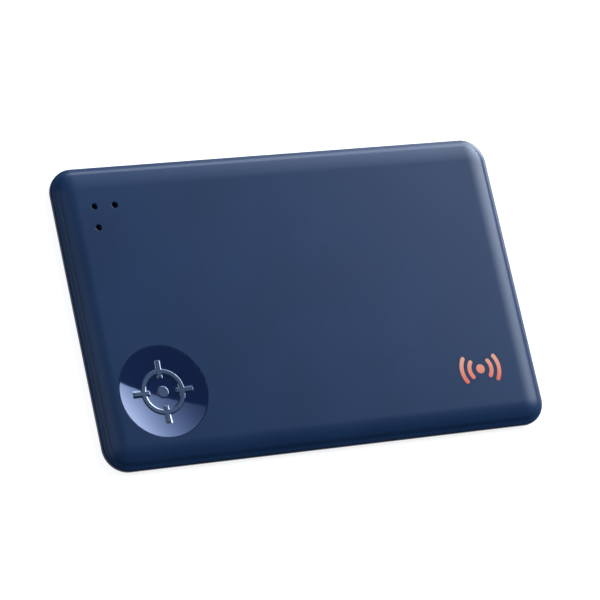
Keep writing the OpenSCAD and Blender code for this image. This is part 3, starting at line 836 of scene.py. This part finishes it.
def symbol_depth(radius, along, across):
    """Distance inside the symbol's edges: the greatest of the ring's, the dot's and a tick's."""
    ring = symbol_line / 2 - np.abs(radius - symbol_ring)
    dot = symbol_dot - radius
    tick = np.min([symbol_line / 2 - np.abs(across), along - tick_root, tick_tip - along], axis=0)
    return np.max([ring, dot, tick], axis=0)


def dish_height(radius):
    """Height of the dish's sphere, which meets the face at the button's radius."""
    return face - bowl_height(radius, button_radius, dish_depth)


def dish_grid():
    """Dish and symbol as one grid of loops, and the angles of its last loop. A quarter's columns
    follow the edges of its tick, where their angle is asin(offset / radius), and are even between
    ticks; its rows lie close together at the ring's, the dot's and the ticks' edges. A point's
    height is the dish's plus the rise times a smooth step of its distance inside the symbol."""
    steps = symbol_edge * np.linspace(-1, 1, 7)
    edges = [symbol_dot, tick_root, symbol_ring - symbol_line / 2, symbol_ring + symbol_line / 2,
             tick_tip]
    crowded = np.concatenate([edge + steps for edge in edges])
    spread = np.linspace(0, button_radius - rim_break, 60)
    clear = np.min(np.abs(spread[:, None] - crowded), axis=1) > row_clear
    radius = np.sort(np.concatenate([crowded, spread[clear]]))
    middle = middle_columns * np.linspace(-1, 1, 5)
    offset = np.sort(np.concatenate([symbol_line / 2 + steps, -symbol_line / 2 - steps, middle]))
    near = np.arcsin(offset / np.maximum(radius, least_reach)[:, None])
    gap = np.linspace(0, 1, 26)[1:-1]
    far = near[:, -1:] + gap * (math.pi / 2 + near[:, :1] - near[:, -1:])
    quarter = np.concatenate([near, far], 1)
    angle = (quarter[:, None, :] + np.arange(4)[:, None] * math.pi / 2).reshape(len(radius), -1)
    from_tick = np.where(quarter > math.pi / 4, quarter - math.pi / 2, quarter)
    from_tick = np.concatenate([from_tick] * 4, 1)
    reach = np.broadcast_to(radius[:, None], angle.shape)
    inside = symbol_depth(reach, reach * np.cos(from_tick), reach * np.sin(from_tick))
    ramp = np.clip((inside + symbol_edge) / (2 * symbol_edge), 0, 1)
    height = dish_height(reach) + symbol_rise * ramp * ramp * (3 - 2 * ramp)
    x = button_centre[0] + reach * np.cos(angle)
    y = button_centre[1] + reach * np.sin(angle)
    points, quads = skin(np.stack([x, y, height], -1))
    matte = ramp.reshape(-1)[quads].mean(1) > matte_share
    return (points, quads, matte.astype(int)), angle[-1]


def cap_body(rim_angle):
    """Rest of the cap, turned with the dish's own columns: the rim's break, the side, the flange,
    the underside and the pip."""
    rim = button_radius - rim_break
    start = dish_height(rim)
    section = np.concatenate([
        [(rim, start)],
        arc(rim, start - rim_break, rim_break, 80, 0, 4),
        [(button_radius, flange_top), (button_radius + flange_width, flange_top),
         (button_radius + flange_width, cap_under), (pip_radius, cap_under),
         (pip_radius, pip_base + cap_break), (pip_radius - cap_break, pip_base), (0, pip_base)],
    ])
    radius, height = section.T[:, :, None]
    x = button_centre[0] + radius * np.cos(rim_angle)
    y = button_centre[1] + radius * np.sin(rim_angle)
    points, quads = skin(np.stack([x, y, np.broadcast_to(height, x.shape)], -1))
    return points, quads, np.ones(len(quads), int)


def polished_plastic():
    """Polished navy plastic: almost a mirror, with the faintest waviness of a moulded surface."""
    material, tree, shader, place = node_material("polished_plastic")
    drift = noise(tree, place, size=5 * MM)
    tint = blend_colours(tree, drift, (0.0016, 0.0068, 0.0285), (0.0020, 0.0080, 0.0325))
    tree.links.new(tint, shader.inputs["Base Color"])
    tree.links.new(between(tree, drift, 0.03, 0.045), shader.inputs["Roughness"])
    shader.inputs["IOR"].default_value = 1.7
    shader.inputs["Specular IOR Level"].default_value = 1.0
    shader.inputs["Specular Tint"].default_value = (0.88, 0.92, 1.0, 1)
    bump(tree, shader, drift, 0.004 * MM)
    return material


dish, rim_angle = dish_grid()
symbol_plastic = blasted_plastic(
    "symbol_plastic", colour=(0.016, 0.030, 0.060), roughness=0.5, grain_height=0.003 * MM)
shell("push_button", [dish, cap_body(rim_angle)], "button", ["button_cap"],
      [polished_plastic(), symbol_plastic], 40)

# Studio. A plain white floor under the card and four soft lights: a large key low behind the far
# right corner, whose upper edge ends at the face's mirror angle, a long low one under it, and fills
# at the left end and overhead. The room is white near the floor and nearly dark above.
floor_half = 2.0
floor_gap = 0.02 * MM
floor_mesh = bpy.data.meshes.new("studio_floor")
floor_corners = [(floor_half * x, floor_half * y, -floor_gap) for x, y in
                 [(-1, -1), (1, -1), (1, 1), (-1, 1)]]
floor_mesh.from_pydata(floor_corners, [], [(0, 1, 2, 3)])
studio_floor = bpy.data.objects.new("studio_floor", floor_mesh)
bpy.context.collection.objects.link(studio_floor)
studio_floor.visible_glossy = False
studio_floor.visible_diffuse = False
floor_paint, floor_tree, floor_shader, floor_place = node_material("floor_paint")
floor_drift = noise(floor_tree, floor_place, size=0.3)
floor_shade = blend_colours(floor_tree, floor_drift, (0.28, 0.28, 0.28), (0.30, 0.30, 0.30))
floor_tree.links.new(floor_shade, floor_shader.inputs["Base Color"])
floor_shader.inputs["Roughness"].default_value = 0.9
floor_shader.inputs["Specular IOR Level"].default_value = 0.1
floor_shader.inputs["Emission Color"].default_value = (1, 1, 1, 1)
floor_reach = floor_tree.nodes.new("ShaderNodeVectorMath")
floor_reach.operation = "LENGTH"
floor_tree.links.new(floor_place, floor_reach.inputs[0])
floor_glow = span(floor_tree, floor_reach.outputs["Value"], 0.3, 0.7, low=0.82, high=1.0)
floor_tree.links.new(floor_glow, floor_shader.inputs["Emission Strength"])
floor_mesh.materials.append(floor_paint)

light_aim = Vector((*button_centre, face))
light_distance = 0.7


def towards(azimuth, elevation):
    """Unit vector at an azimuth from +X towards +Y and an elevation, both in degrees."""
    a, e = math.radians(azimuth), math.radians(elevation)
    return Vector((math.cos(e) * math.cos(a), math.cos(e) * math.sin(a), math.sin(e)))


def soft_light(name, direction, size, power, colour, spread, hot=None, rim=None, turn=0, whole=0.28):
    """Rectangular soft light in a direction from the button, which it faces, turned about its own
    axis. Its cloth glows as exp(-r * r / 2), r being the way from the hot place in spreads. The hot
    place is measured from the cloth's corner, and is its middle if none is given. As the glow goes
    from 0 to the whole value, the colour goes from the rim's, if it has its own, to the full one."""
    hot = hot or (size[0] / 2, size[1] / 2)
    lamp = bpy.data.lights.new(name, "AREA")
    lamp.shape = "RECTANGLE"
    lamp.size, lamp.size_y = size
    lamp.energy = power
    lamp.use_nodes = True
    tree = lamp.node_tree
    centred = tree.nodes.new("ShaderNodeMapping")
    centred.inputs["Location"].default_value = (-hot[0] / spread, -hot[1] / spread, 0)
    centred.inputs["Scale"].default_value = (size[0] / spread, size[1] / spread, 0)
    tree.links.new(tree.nodes.new("ShaderNodeNewGeometry").outputs["Parametric"], centred.inputs["Vector"])
    square = tree.nodes.new("ShaderNodeVectorMath")
    square.operation = "DOT_PRODUCT"
    tree.links.new(centred.outputs["Vector"], square.inputs[0])
    tree.links.new(centred.outputs["Vector"], square.inputs[1])
    halved = tree.nodes.new("ShaderNodeMath")
    halved.operation = "MULTIPLY"
    halved.inputs[1].default_value = -0.5
    tree.links.new(square.outputs["Value"], halved.inputs[0])
    fall = tree.nodes.new("ShaderNodeMath")
    fall.operation = "EXPONENT"
    tree.links.new(halved.outputs["Value"], fall.inputs[0])
    tree.links.new(fall.outputs["Value"], tree.nodes["Emission"].inputs["Strength"])
    tint = mix_colours(tree, span(tree, fall.outputs["Value"], 0, whole), rim or colour, colour)
    tree.links.new(tint, tree.nodes["Emission"].inputs["Color"])
    light = bpy.data.objects.new(name, lamp)
    light.matrix_world = (
        Matrix.Translation(light_aim + light_distance * direction)
        @ direction.to_track_quat("Z", "Y").to_matrix().to_4x4()
        @ Matrix.Rotation(math.radians(turn), 4, "Z")
    )
    bpy.context.collection.objects.link(light)


soft_light("key_light", towards(45, 33), size=(0.77, 0.764), power=61.0, colour=(0.80, 0.88, 1.0),
           spread=0.24, hot=(0.055, 0.382), rim=(0.38, 0.56, 1.0), turn=34.5)
soft_light("low_light", towards(48, 12), size=(0.8, 0.2), power=7.0, colour=(0.78, 0.88, 1.0),
           spread=0.4)
soft_light("side_fill", towards(178, 38), size=(0.8, 0.5), power=5.0, colour=(0.85, 0.92, 1.0),
           spread=0.3)
soft_light("top_fill", towards(120, 77), size=(0.24, 0.24), power=0.8, colour=(0.9, 0.94, 1.0),
           spread=0.1)

world = bpy.data.worlds.new("studio_air")
bpy.context.scene.world = world
world.use_nodes = True
air = world.node_tree
sky = air.nodes["Background"]
upward = air.nodes.new("ShaderNodeSeparateXYZ")
air.links.new(air.nodes.new("ShaderNodeTexCoord").outputs["Generated"], upward.inputs["Vector"])
sky_glow = span(air, upward.outputs["Z"], 0.05, 0.25, low=1.0, high=0.04)
sky_glow.node.interpolation_type = "SMOOTHSTEP"
air.links.new(sky_glow, sky.inputs["Strength"])
sky.inputs["Color"].default_value = (0.97, 0.98, 1.0, 1)

# Camera. A long lens above the card's near left corner, rolled so that the card's long edge
# climbs across the view.
camera_azimuth = math.radians(-61.81)
camera_elevation = math.radians(59.79)
camera_roll = math.radians(52.67)
camera_distance = 0.58834
camera_aim = Vector((0.28 * MM, 0.27 * MM, 0))
backwards = Vector((
    math.sin(camera_azimuth) * math.cos(camera_elevation),
    -math.cos(camera_azimuth) * math.cos(camera_elevation),
    math.sin(camera_elevation),
))
level = Vector((math.cos(camera_azimuth), math.sin(camera_azimuth), 0))
upright = backwards.cross(level)
rightwards = math.cos(camera_roll) * level + math.sin(camera_roll) * upright
upwards = backwards.cross(rightwards)
lens = bpy.data.cameras.new("camera")
lens.lens = 201.51
lens.sensor_width = 36
lens.clip_start = 0.01
lens.clip_end = 50
camera = bpy.data.objects.new("camera", lens)
camera_turn = Matrix((rightwards, upwards, backwards)).transposed().to_4x4()
camera.matrix_world = Matrix.Translation(camera_aim + camera_distance * backwards) @ camera_turn
bpy.context.collection.objects.link(camera)
bpy.context.scene.camera = camera
bpy.context.scene.view_settings.view_transform = "Standard"
